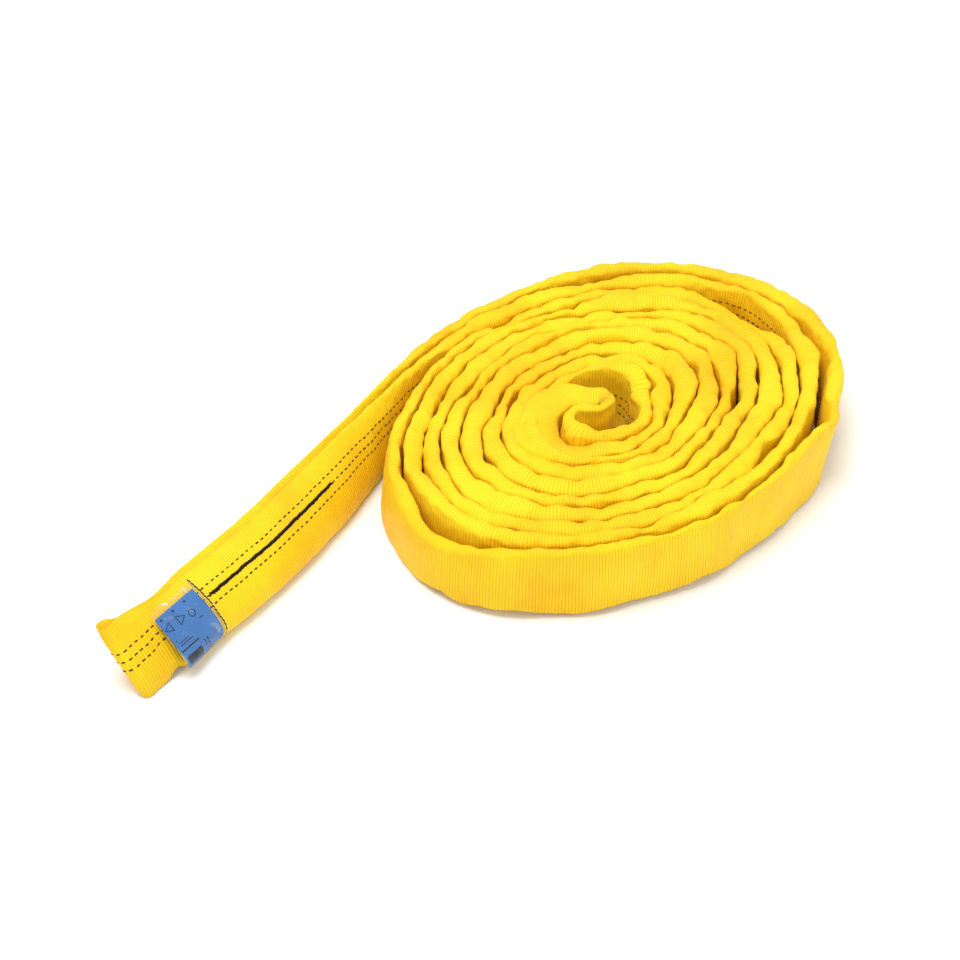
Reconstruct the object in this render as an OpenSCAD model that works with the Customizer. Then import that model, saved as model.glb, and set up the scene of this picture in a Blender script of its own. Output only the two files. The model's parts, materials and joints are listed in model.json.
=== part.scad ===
// Round sling: an endless yarn hank in a woven sleeve, coiled flat on the floor as a doubled strand.
// Millimetres, Z up, the sleeve stands on edge on z = 0 and the coil is centred on the origin.

/* [Sleeve] */
// Width of the flattened sleeve, which is the height of the coil
sleeve_w = 62; // [50:0.5:76]
// Thickness of one ply of the sleeve where it runs free
ply_t = 9; // [7.5:0.1:11]
// Thickness of the woven sleeve wall
wall = 1.2; // [0.8:0.05:2]
// Clearance on each side of a ply
gap = 0.4; // [0.3:0.1:0.8]

/* [Coil] */
// Long half axis of the coil, to the middle of its outermost strand
coil_a = 210; // [190:1:255]
// Short half axis of the coil, to the middle of its outermost strand
coil_b = 152; // [126:1:190]
// Long half axis of the innermost turn
inner_a = 46; // [44:1:55]
// Short half axis of the innermost turn
inner_b = 34; // [30:1:40]
// Number of turns of the doubled strand
turns = 4.8; // [4:0.1:5]
// Direction of the coil's long axis, in degrees from +X
tilt = 44; // [30:1:60]
// Inside radius of the curl that the strand makes inside the innermost turn
curl_in = 3.9; // [3:0.1:6]
// Angle that the curl turns through
curl_angle = 118; // [90:2:130]

/* [Free end] */
// Lean of the free end from upright, in degrees
lean = 33; // [0:1:35]
// How far the front of the free end bulges
bow = 14; // [8:1:16]
// Width of the sleeve where it gathers round the end bight, as a share of its flat width
gather = 0.86; // [0.8:0.02:1]
// Spacing of the three marker yarns
marker_pitch = 7; // [5:0.5:9]
// Width of a marker yarn
marker_w = 1.2; // [0.8:0.1:1.6]
// Thickness of a marker yarn
marker_t = 0.5; // [0.4:0.1:0.8]
// Length of the closing seam
seam_len = 140; // [80:5:150]
// Width of the closing seam
seam_w = 3; // [2:0.2:4]
// Thickness of the closing seam's thread
seam_t = 0.9; // [0.6:0.1:1.2]

/* [Label] */
// Length of the label along the strand
label_l = 37; // [30:1:42]
// Width of the label across the strand
label_w = 42; // [36:1:46]
// Thickness of the label
label_t = 0.4; // [0.3:0.1:0.8]
// Margin of the clear wallet round the label
wallet_margin = 3; // [2:0.5:4]
// Thickness of each film of the wallet
film_t = 0.4; // [0.3:0.1:0.6]
// Thickness of the thread that sews the label down
thread_t = 0.8; // [0.5:0.1:1]
// Width of its stitches
stitch_w = 2; // [1.4:0.2:2.4]
// Room between the stitches and the marker yarns
stitch_gap = 0.5; // [0.3:0.1:0.8]

/* [Hidden] */

exit_t = 144;                                 // where the strand leaves the coil
step = 12;                                    // degrees between stations on the coil
start_t = exit_t - turns * 360;               // where the spiral starts, at the curl
pitch_a = (coil_a - inner_a) / turns;
pitch_b = (coil_b - inner_b) / turns;
ply_pitch = ply_t + 2 * gap;
core_gap = 0.4;                               // room between the yarn hank and the sleeve
marker_at = 40;                               // place of the middle marker yarn up the ply
marker_fall = 14;                             // how much lower it runs round the bight
ring_sides = 12;
label_ring = 8;                               // the station where the label is sewn on
tape_rings = [4, 5];                          // the stations between which the yarn ends are taped

// The free end's route from the coil's exit, in the order of the strand, with its lean there
route = [[0, 0], [-25, -35], [-42, -73], [-58, -112], [-77, -150], [-98, -185],
         [-121, -219], [-145, -252], [-162, -275], [-201, -331]];
route_lean = [0, 0.05, 0.25, 0.5, 0.75, 0.9, 1, 1, 1, 1.12];

function unit(v) = v / norm(v);
function turned(v, a) = [v.x * cos(a) - v.y * sin(a), v.x * sin(a) + v.y * cos(a)];
function right(v) = [v.y, -v.x];
function dot(u, v) = u.x * v.x + u.y * v.y;
function rev(l) = [for (i = [len(l) - 1 : -1 : 0]) l[i]];

// The coil: an elliptic spiral, worked out at parameter t in degrees
function turn_no(t) = (t - start_t) / 360;
function spiral(t) = turned([(inner_a + pitch_a * turn_no(t)) * cos(t - tilt),
                             (inner_b + pitch_b * turn_no(t)) * sin(t - tilt)], tilt);
function spiral_dir(t) = unit(spiral(t + 1) - spiral(t - 1));
function half_pitch(t) = turned([pitch_a * cos(t - tilt), pitch_b * sin(t - tilt)], tilt) / 2;
function spiral_half(t) = dot(half_pitch(t), right(spiral_dir(t))) - gap;

// How far the strand's edge on side s slides along it, so that neighbouring turns share one line
function slide(t, s) = let (n = right(spiral_dir(t)), v = half_pitch(t), left = exit_t - t)
    s * (v - n * dot(v, n)) * max(0, min(1, s > 0 ? left / 360 : min(turn_no(t), left / 48)));

// The curl inside it, b degrees before the spiral starts, then a short straight to the inner bight
start_n = right(spiral_dir(start_t));
curl_r = curl_in + spiral_half(start_t);
curl_c = spiral(start_t) - start_n * curl_r;
function curl(b) = curl_c + turned(start_n, -b) * curl_r;
inner_straight = 10;
inner_dir = turned(unit(spiral_dir(start_t)), -curl_angle) * -1;

// Stations of the coiled strand from the exit to the inner end: [middle, outward normal, half
// thickness, slide of the inner edge, slide of the outer edge]
free_half = ply_t + gap;
coil_stations = concat(
    [for (t = [exit_t : -step : start_t + step / 3])
        [spiral(t), right(spiral_dir(t)), spiral_half(t), slide(t, -1), slide(t, 1)]],
    [for (i = [0 : 8]) let (b = curl_angle * i / 8, h = spiral_half(start_t))
        [curl(b), turned(start_n, -b), h + (free_half - h) * min(1, i / 5), [0, 0], [0, 0]]],
    [[curl(curl_angle) + inner_dir * inner_straight, turned(start_n, -curl_angle), free_half, [0, 0], [0, 0]]]);
inner_end = coil_stations[len(coil_stations) - 1];

// Outline of both plies, inset all round by a wall or a clearance, and run past the exit by `past`
function side(s, lo, inset, past) =
    [for (i = [0 : len(coil_stations) - 1]) let (c = coil_stations[i])
        c[0] + c[1] * s * (lo ? gap + inset : c[2] - inset) + (lo ? [0, 0] : c[s > 0 ? 4 : 3])
            + spiral_dir(exit_t) * (i == 0 ? past : 0)];
function nose(r) = [for (a = [15 : 15 : 165]) inner_end[0] + turned(inner_end[1], -a) * r];
function plies(inset, past) = concat(side(1, false, inset, past), nose(free_half - inset),
    rev(side(-1, false, inset, past)), side(-1, true, inset, past),
    rev(nose(gap + inset)), rev(side(1, true, inset, past)));

module coiled(inset, z0, z1, past = 0) {
    translate([0, 0, z0]) linear_extrude(z1 - z0) polygon(plies(inset, past));
}

// The free end: stations [middle, direction, lean] from the exit to the outer bight
exit_p = spiral(exit_t);
function route_p(i) = i < 0 ? spiral(exit_t - 2 * step) :
                      exit_p + (i < len(route) ? route[i] : 2 * route[len(route) - 1] - route[len(route) - 2]);
function route_dir(i) = i == 0 ? spiral_dir(exit_t) : unit(route_p(i + 1) - route_p(i - 1));
last = len(route) - 1;
end_p = route_p(last);
end_dir = route_dir(last);
end_n = right(end_dir);

// A ring is [middle of the ply in plan, direction of its thickness, leaning direction, lean, bow,
// width between its edges]
function ply_half(ps) = (ply_t / 2 + gap) / cos(ps);
nose_lean = lean * route_lean[last];
nose_bow = 0.3 * bow;
bights = [for (a = [30 : 30 : 150]) a];
function chord(b) = sleeve_w - 8 * b * b / (3 * sleeve_w);
nose_chord = chord(nose_bow) * gather;
function bow_at(i) = i == last ? nose_bow : bow * pow(route_lean[i], 2);
function strand_ring(i, s) = let (n = right(route_dir(i)), ps = lean * route_lean[i])
    [route_p(i) + s * n * ply_half(ps), -s * n, n, ps, bow_at(i), i == last ? nose_chord : chord(bow_at(i))];
rings = concat(
    [for (i = [0 : last]) strand_ring(i, -1)],
    [for (a = bights) let (r = end_dir * sin(a) - end_n * cos(a))
        [end_p + r * ply_half(nose_lean), -r, end_n, nose_lean, nose_bow, nose_chord]],
    [for (i = [last : -1 : 0]) strand_ring(i, 1)]);

// A point of a ring: u across the width from -1 to 1, v through half the thickness from -1 to 1
function ring_point(r, u, v, inset = 0) =
    let (h = r[5] / 2, k = u * (h - inset) / h, s = h * (1 + k), t = v * (ply_t / 2 - inset))
    [each (r[0] + r[1] * t / cos(r[3]) + r[2] * (s * sin(r[3]) - r[4] * (1 - k * k))), s * cos(r[3])];
function soft(x) = sign(x) * pow(abs(x), 0.6);
function ring(r, inset) = [for (k = [0 : ring_sides - 1]) let (a = k * 360 / ring_sides)
    ring_point(r, soft(cos(a)), soft(sin(a)), inset)];

// A point on the ply's outer face at ring position x, which may lie between two rings: u across the
// width, and `out` millimetres proud of the face. Each four-sided cell is split into two facets.
corners = [for (a = [150 : -30 : 30]) soft(cos(a))];
heights = [for (a = [150 : -30 : 30]) soft(sin(a))];
function on_ring(i, j, out) = ring_point(rings[i], corners[j], -heights[j] - out / (ply_t / 2));
function cell(u, j = 0) = j == len(corners) - 2 || u < corners[j + 1] ? j : cell(u, j + 1);
function span(j) = corners[j + 1] - corners[j];
function skin(x, u, out) = let (i = min(floor(x), len(rings) - 2), j = cell(u), f = x - i,
    g = (u - corners[j]) / span(j), b = on_ring(i, j + 1, out), c = on_ring(i + 1, j, out))
    f + g < 1 ? let (a = on_ring(i, j, out)) a + (c - a) * f + (b - a) * g
              : let (d = on_ring(i + 1, j + 1, out)) d + (b - d) * (1 - f) + (c - d) * (1 - g);

// The ring position d millimetres back from ring i along the strand
function back_from(i, d) = let (l = norm(route_p(i) - route_p(i - 1)))
    d <= l ? i - d / l : back_from(i - 1, d - l);

function tube_walls(n, m, first, flip) = [for (i = [0 : n - 2], k = [0 : m - 1])
    let (a = first + i * m + k, b = first + i * m + (k + 1) % m, c = a + m, d = b + m)
    each flip ? [[a, b, c], [b, d, c]] : [[a, c, b], [b, c, d]]];

module free_solid(inset) {
    m = ring_sides;
    n = len(rings);
    polyhedron([for (r = rings) each ring(r, inset)],
               concat(tube_walls(n, m, 0, false), [[for (k = [0 : m - 1]) k]],
                      [[for (k = [m - 1 : -1 : 0]) (n - 1) * m + k]]), convexity = 6);
}

// A shell between two insets, from ring i0 to ring i1, open at both ends
module free_shell(out, in, i0, i1) {
    m = ring_sides;
    n = i1 - i0 + 1;
    q = n * m;
    e = (n - 1) * m;
    pts = concat([for (i = [i0 : i1]) each ring(rings[i], out)], [for (i = [i0 : i1]) each ring(rings[i], in)]);
    polyhedron(pts, concat(tube_walls(n, m, 0, false), tube_walls(n, m, q, true),
        [for (k = [0 : m - 1]) let (j = (k + 1) % m) each [[k, j, q + k], [j, q + j, q + k]]],
        [for (k = [0 : m - 1]) let (j = (k + 1) % m)
            each [[e + k, q + e + k, e + j], [e + j, q + e + k, q + e + j]]]), convexity = 6);
}

// The facet edges near a line from place a to place b, as [x factor, u factor, sum]
function edges(a, b) = let (i0 = floor(min(a.x, b.x)), i1 = ceil(max(a.x, b.x))) concat(
    [for (i = [i0 : i1]) [1, 0, i]], [for (c = corners) [0, 1, c]],
    [for (i = [i0 : i1], j = [0 : len(corners) - 2]) [1, 1 / span(j), 1 + i + corners[j] / span(j), i, j]]);
function on_edge(e, p) = len(e) == 3 ||
    (p.x >= e[3] && p.x <= e[3] + 1 && p.y >= corners[e[4]] && p.y <= corners[e[4] + 1]);
function sorted(l) = len(l) < 2 ? l : let (p = l[0], rest = [for (i = [1 : len(l) - 1]) l[i]])
    concat(sorted([for (q = rest) if (q[0] < p[0]) q]), [p], sorted([for (q = rest) if (q[0] >= p[0]) q]));

// Where a strip from a to b, half wide each side, crosses the facet edges: [share, left, right]
function crossings(a, b, half) = let (d = b - a) sorted([for (e = edges(a, b))
    let (v = [e[0], e[1]], run = v * d) if (abs(run) > 0.0001)
        let (l = (e[2] - v * (a - half)) / run, r = (e[2] - v * (a + half)) / run, m = (l + r) / 2)
            if (m > 0.001 && m < 0.999 && on_edge(e, a + d * m)) [m, a - half + d * l, a + half + d * r]]);

// A thread on the ply's outer face through the places [ring position, u], half wide each side of
// the line in the direction [ring positions, u], and t thick. It bends wherever the facets do.
module thread(places, half, t) {
    cuts = concat([for (i = [0 : len(places) - 2])
                      each concat([[0, places[i] - half, places[i] + half]],
                                  crossings(places[i], places[i + 1], half))],
                  [let (z = places[len(places) - 1]) [0, z - half, z + half]]);
    n = len(cuts);
    pts = [for (c = cuts) each [for (q = [[1, 0], [2, 0], [2, t], [1, t]]) skin(c[q[0]].x, c[q[0]].y, q[1])]];
    polyhedron(pts, concat(tube_walls(n, 4, 0, false), [[0, 1, 2, 3]],
                           [[for (k = [3 : -1 : 0]) (n - 1) * 4 + k]]), convexity = 4);
}

// The markers' places from x0 to x1, with the two where they start and end their fall
function stations(x0, x1) = concat([x0], [for (x = [label_ring, label_ring + 2]) if (x > x0 && x < x1) x], [x1]);
function across(s) = 2 * s / sleeve_w - 1;
function marker_u(x, k) =
    across(marker_at + k * marker_pitch - marker_fall * max(0, min(1, (x - label_ring) / 2)));
module marker(x0, x1, k) {
    thread([for (x = stations(x0, x1)) [x, marker_u(x, k)]], [0, marker_w / sleeve_w], marker_t);
}

// The label's frame, on the facet above the ply's middle: X back towards the coil, Y up the ply,
// Z out of its face, with the origin in the middle of the sewn edge
face_lo = skin(label_ring, 0, 0);
face_hi = skin(label_ring, corners[3], 0);
label_off = thread_t + 0.3;
stack_t = 2 * film_t + label_t + 0.3;
module on_label() {
    x = [each -route_dir(label_ring), 0];
    y = unit(face_hi - face_lo);
    z = cross(x, y);
    p = (face_lo + face_hi) / 2 + z * label_off;
    multmatrix([[x.x, y.x, z.x, p.x], [x.y, y.y, z.y, p.y], [x.z, y.z, z.z, p.z], [0, 0, 0, 1]])
        children();
}
wallet_l = label_l + 2 * wallet_margin;
wallet_w = label_w + 2 * wallet_margin;

module sleeve_coil() {
    color("gold") difference() {
        coiled(0, 0, sleeve_w);
        coiled(wall, wall, sleeve_w - wall, 1);
    }
}

module sleeve_free_end() {
    color("gold") free_shell(0, wall, 0, len(rings) - 1);
}

module core_coil() {
    color("ivory") coiled(wall + core_gap, wall, sleeve_w - wall - core_gap);
}

module core_free_end() {
    color("ivory") free_solid(wall + core_gap);
}

module yarn_end_tape() {
    color("white") free_shell(wall + 0.1, wall + core_gap, tape_rings[0], tape_rings[1]);
}

seam_end = back_from(label_ring, 6);
seam_start = back_from(label_ring, 6 + seam_len);

module marker_yarn_upper() {
    color("black") marker(1, last + len(bights) + 1, 1);
}

module marker_yarn_middle() {
    color("black") {
        marker(1, seam_start - 0.1, 0);
        marker(label_ring + 0.1, last + len(bights) + 1, 0);
    }
}

module marker_yarn_lower() {
    color("black") marker(1, last + len(bights) + 1, -1);
}

module closing_seam() {
    color("black") thread([for (x = stations(seam_start, seam_end)) [x, across(marker_at)]],
                          [0, seam_w / sleeve_w], seam_t);
}

module label() {
    color("steelblue") on_label() translate([-wallet_margin - label_l, -label_w / 2, film_t])
        cube([label_l, label_w, label_t]);
}

module wallet_back_film() {
    color("lightblue", 0.5) on_label() translate([-wallet_l, -wallet_w / 2, 0])
        cube([wallet_l, wallet_w, film_t]);
}

module wallet_front_film() {
    color("lightblue", 0.5) on_label() translate([-wallet_l, -wallet_w / 2, film_t]) difference() {
        cube([wallet_l, wallet_w, stack_t - film_t]);
        translate([1, 1, -1]) cube([wallet_l - 2, wallet_w - 2, stack_t - 2 * film_t + 1]);
    }
}

// The label's stitches, in runs between the marker yarns
module label_seam() {
    x = back_from(label_ring, 2);
    room = (marker_w + 2 * stitch_gap) / sleeve_w;
    low = marker_u(x, -1);
    high = marker_u(x, 1);
    for (u = [[-0.3, low - room], [low + room, high - room], [high + room, 0.85]])
        color("darkslategray") thread([[x, u[0]], [x, u[1]]],
            [stitch_w / 2 / norm(route_p(label_ring) - route_p(label_ring - 1)), 0], thread_t);
}

sleeve_coil();
sleeve_free_end();
core_coil();
core_free_end();
yarn_end_tape();
marker_yarn_upper();
marker_yarn_middle();
marker_yarn_lower();
closing_seam();
label();
wallet_back_film();
wallet_front_film();
label_seam();
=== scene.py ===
import json
import math

import bmesh
import bpy
import numpy as np
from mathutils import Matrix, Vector, noise


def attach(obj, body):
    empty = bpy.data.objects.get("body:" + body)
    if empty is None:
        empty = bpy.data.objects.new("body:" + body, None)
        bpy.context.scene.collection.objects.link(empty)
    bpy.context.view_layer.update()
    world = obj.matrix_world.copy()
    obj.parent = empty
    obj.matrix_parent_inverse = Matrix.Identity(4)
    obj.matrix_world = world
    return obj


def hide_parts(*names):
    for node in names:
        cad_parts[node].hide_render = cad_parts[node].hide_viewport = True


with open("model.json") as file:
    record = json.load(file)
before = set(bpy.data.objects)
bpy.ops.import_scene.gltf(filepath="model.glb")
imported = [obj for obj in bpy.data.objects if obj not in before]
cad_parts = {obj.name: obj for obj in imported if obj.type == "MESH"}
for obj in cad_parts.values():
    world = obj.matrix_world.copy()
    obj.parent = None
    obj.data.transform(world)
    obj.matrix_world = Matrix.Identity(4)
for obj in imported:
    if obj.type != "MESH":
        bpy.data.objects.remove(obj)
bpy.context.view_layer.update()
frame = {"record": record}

# ---------------------------------------------------------------- camera, floor, light
scene = bpy.context.scene
cam = bpy.data.objects.new("camera", bpy.data.cameras.new("camera"))
cam.data.lens, cam.data.sensor_width = 70, 36
cam.location = (-0.099, -1.1364, 0.9690)
cam.rotation_euler = (math.radians(49), 0, 0)
scene.collection.objects.link(cam)
scene.camera = cam
scene.view_settings.view_transform = "Standard"

world = bpy.data.worlds.new("studio")
scene.world = world
world.use_nodes = True
world.node_tree.nodes["Background"].inputs[0].default_value = (1, 1, 1, 1)
world.node_tree.nodes["Background"].inputs[1].default_value = 0.76


def area_light(name, at, to, size, watts):
    lamp = bpy.data.lights.new(name, "AREA")
    lamp.shape, lamp.size, lamp.energy = "DISK", size, watts
    ob = bpy.data.objects.new(name, lamp)
    ob.location = at
    ob.rotation_euler = (Vector(to) - Vector(at)).to_track_quat("-Z", "Y").to_euler()
    scene.collection.objects.link(ob)
    return ob


area_light("key", (-0.55, -0.1, 2.3), (-0.05, 0, 0), 1.5, 42)
area_light("fill", (1.5, -1.4, 1.2), (0, 0, 0), 1.8, 8)

# ---------------------------------------------------------------- sizes, in millimetres as in the CAD
SLEEVE_W, PLY_T, GAP = 62.0, 9.0, 0.4
COIL_A, COIL_B, INNER_A, INNER_B = 210.0, 152.0, 46.0, 34.0
TURNS, TILT, CURL_IN, CURL_ANGLE = 4.8, 44.0, 3.9, 118.0
EXIT_T = 144.0
START_T = EXIT_T - TURNS * 360
PITCH_A, PITCH_B = (COIL_A - INNER_A) / TURNS, (COIL_B - INNER_B) / TURNS
LEAN, BOW = 33.0, 14.0
MARKER_PITCH = 7.0
SEAM_LEN = 140.0
ROUTE = [(0, 0), (-25, -35), (-42, -73), (-58, -112), (-77, -150), (-98, -185),
         (-121, -219), (-145, -252), (-162, -275), (-201, -331)]
ROUTE_LEAN = [0, 0.05, 0.25, 0.5, 0.75, 0.9, 1, 1, 1, 1.12]
INNER_STRAIGHT = 10.0
NOSE_GATHER = 0.96                                       # the sleeve's share of its width at the outer bight
RIB = 2.4                                                # from one rib of the weave to the next
FLOOR_GAP = 0.15                                         # the sleeve's least height over the floor
HOLE = np.array([5.0, 15.0])                             # the middle of the hole in the coil
INNER_FILL = 15.0                                        # loose fabric of the inner end beside the hole


def rot(v, a):
    c, s = np.cos(np.radians(a)), np.sin(np.radians(a))
    return np.stack([v[..., 0] * c - v[..., 1] * s, v[..., 0] * s + v[..., 1] * c], -1)


def unit(v):
    return v / np.linalg.norm(v, axis=-1, keepdims=True)


def right(v):
    return np.stack([v[..., 1], -v[..., 0]], -1)


def spiral(t):
    t = np.asarray(t, float)
    q = (t - START_T) / 360
    c, s = np.cos(np.radians(t - TILT)), np.sin(np.radians(t - TILT))
    return rot(np.stack([(INNER_A + PITCH_A * q) * c, (INNER_B + PITCH_B * q) * s], -1), TILT)


def spiral_dir(t):
    return unit(spiral(np.asarray(t) + 1.0) - spiral(np.asarray(t) - 1.0))


def spiral_half(t):
    t = np.asarray(t, float)
    c, s = np.cos(np.radians(t - TILT)), np.sin(np.radians(t - TILT))
    v = rot(np.stack([PITCH_A * c, PITCH_B * s], -1), TILT)
    return (v * right(spiral_dir(t))).sum(-1) / 2


def smooth(x, a=0.0, b=1.0):
    x = np.clip((np.asarray(x, float) - a) / (b - a), 0, 1)
    return x * x * (3 - 2 * x)


def through(p0, p1, p2, p3, f):
    """A smooth curve through the four points, at f from the second to the third."""
    return p1 + 0.5 * f * (p2 - p0 + f * (2 * p0 - 5 * p1 + 4 * p2 - p3 + f * (3 * (p1 - p2) + p3 - p0)))


WAVE_KNOTS = 4000


def wave(seed, s, length):
    """Smooth noise along s, from about -1 to 1, with bends about `length` apart."""
    s = np.asarray(s, float) / (length / 2) + 50
    i = np.floor(s).astype(int)
    knots = np.random.RandomState(seed).uniform(-1, 1, WAVE_KNOTS)
    return through(*(knots[(i + k) % WAVE_KNOTS] for k in (-1, 0, 1, 2)), s - i)


# ---------------------------------------------------------------- the strand's middle line, inner end first
STEP = 4.5                                               # from one ring of the sleeve to the next
FREE_HALF = PLY_T + GAP
start_n = right(spiral_dir(START_T))
half_start = spiral_half(START_T)
CURL_R = CURL_IN + half_start - GAP
curl_c = spiral(START_T) - start_n * CURL_R
inner_dir = -rot(spiral_dir(START_T), -CURL_ANGLE)

# listed points of the free end, on one smooth curve
route = np.array(ROUTE, float) + spiral(EXIT_T)
knots = np.vstack([spiral(EXIT_T - 12), route, 2 * route[-1] - route[-2]])
fine_p, fine_k = [], []
for i in range(len(route) - 1):
    for f in np.arange(0, 1, 0.02):
        fine_p.append(through(*knots[i:i + 4], f))
        fine_k.append(i + f)
fine_p, fine_k = np.array(fine_p + [route[-1]]), np.array(fine_k + [len(route) - 1])

b_fine = np.arange(CURL_ANGLE, 0, -1.0)
t_fine = np.arange(START_T, EXIT_T, 0.5)
b_n = np.array([rot(start_n, -b) for b in b_fine])
curl_p = curl_c + b_n * CURL_R
end_in = curl_p[0] + inner_dir * INNER_STRAIGHT
straight = np.array([end_in + (curl_p[0] - end_in) * f for f in np.arange(0, 1, 0.1)])
# the half thickness eases in over the first 5/8 of the curl
b_half = half_start + (FREE_HALF + GAP - half_start) * np.minimum(1, b_fine / CURL_ANGLE * 8 / 5)
free_taper = smooth(fine_k, 0.0, 3.0)
line_p = np.vstack([straight, curl_p, spiral(t_fine), fine_p])
line_half = np.concatenate([
    np.full(len(straight), FREE_HALF + GAP), b_half, spiral_half(t_fine),
    spiral_half(EXIT_T) * (1 - free_taper) + (PLY_T + 2 * GAP) * free_taper])
line_t = np.concatenate([np.full(len(straight), START_T - CURL_ANGLE), START_T - b_fine, t_fine,
                         EXIT_T + fine_k * 12])
line_k = np.concatenate([np.full(len(straight) + len(curl_p) + len(t_fine), -1.0), fine_k])
gone = np.concatenate([[0], np.cumsum(np.linalg.norm(np.diff(line_p, axis=0), axis=1))])
total = gone[-1]
count = int(round(total / STEP)) + 1
sm = np.linspace(0, total, count)                       # distance along the strand from its inner end
# at each ring: place, half the strand's thickness, angle on the spiral, and how far along the route
mid_p = np.stack([np.interp(sm, gone, line_p[:, c]) for c in (0, 1)], -1)
half = np.interp(sm, gone, line_half)
tt = np.interp(sm, gone, line_t)
kk = np.interp(sm, gone, line_k)
s_exit = np.interp(EXIT_T, line_t, gone)
tangent = unit(np.gradient(mid_p, axis=0))
for _ in range(2):
    tangent[1:-1] = unit(tangent[:-2] + 2 * tangent[1:-1] + tangent[2:])
tangent[0] = -inner_dir
normal = right(tangent)
s_route = np.array([np.interp(k, kk[kk >= 0], sm[kk >= 0]) for k in range(len(ROUTE))])
lean = np.radians(LEAN * np.interp(sm, s_route, ROUTE_LEAN, left=0))
for _ in range(6):
    lean[1:-1] = (lean[:-2] + 2 * lean[1:-1] + lean[2:]) / 4
free = smooth(sm, s_exit - 30, s_exit + 110)             # 0 in the coil, 1 in the free end
bow = BOW * np.interp(sm, s_route, np.array(ROUTE_LEAN) ** 2, left=0)
near_nose = smooth(sm, total - 52, total - 4)
bow = bow * (1 - near_nose) + 0.35 * BOW * near_nose
chord = (SLEEVE_W - 8 * bow ** 2 / (3 * SLEEVE_W)) * (1 - (1 - NOSE_GATHER) * near_nose)

# ---------------------------------------------------------------- rings round both plies
M = 28                                                   # points in a ring
phi = np.arange(M) * 2 * np.pi / M
cu, su = np.cos(phi), np.sin(phi)
U = np.sign(cu) * np.abs(cu) ** 0.66                     # 1 at the top fold, -1 at the bottom fold
V = np.sign(np.round(su, 9))


def envelope(u, f):
    """How thick the ply is at u, as a share: flat faces in the coil, a lens in the free end."""
    a = np.abs(u)
    return (1 - f) * np.sqrt(np.clip(1 - a ** 22, 0, 1)) + f * np.clip(1 - a ** 2.6, 0, 1) ** 0.55


top = ((1 + U) / 2) ** 1.6                               # 0 at the bottom fold, 1 at the top fold
inside = sm < s_exit
outer_turn = smooth(tt, EXIT_T - 372, EXIT_T - 350)      # 1 on the outermost turn, whose wall is free


def boundary(seed, quiet):
    """How far the face between two plies wanders from its place: [station, ring vertex]"""
    low = 0.8 * wave(seed, sm, 170)
    high = (2.7 * wave(seed + 1, sm, 190) + 2.3 * wave(seed + 2, sm, 66) + 1.5 * wave(seed + 3, sm, 30)
            + 0.7 * wave(seed + 4, sm, 16))
    return (low[:, None] * (1 - top) + high[:, None] * top) * quiet[:, None]


quiet = (1 - free) * smooth(sm, 12, 60)
flat_nose = smooth(sm, total - 95, total - 12)           # the plies press together towards the outer bight
mid_move = boundary(11, quiet)
out_move = boundary(31, quiet * (1 - 0.8 * outer_turn))


def a_turn_in(field):
    """The same field one turn further in, where the strand inside this one has it."""
    lo = np.stack([np.interp(tt - 360, tt, field[:, k]) for k in range(field.shape[1])], -1)
    return lo * (tt - 360 > START_T)[:, None]


def near(t, width):
    return np.exp(-((tt - t) / width) ** 2) * inside


def openings(places):
    return sum(near(t, w)[:, None] * size for t, w, size in places) * (0.25 + 0.75 * top)


# places where the two plies part, and where neighbouring turns do: angle on the spiral, half width in
# degrees, opening in millimetres
parted = openings([(-134, 12, 6), (-13, 5, 8), (8, 34, 5), (90, 24, 5), (-723, 6, 7), (-867, 5, 6),
                   (-300, 7, 5), (-1050, 8, 4), (-560, 5, 4)])
parted_out = openings([(-315, 16, 15), (-388, 5, 7), (-640, 9, 4), (-1010, 6, 5), (-470, 6, 4)])
fill_in = (1 - smooth(sm, 50, 94)) * (INNER_FILL + 11 * smooth(sm, 4, 30)
                                      + 2.5 * wave(71, sm, 25) * smooth(sm, 2, 20))


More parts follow.
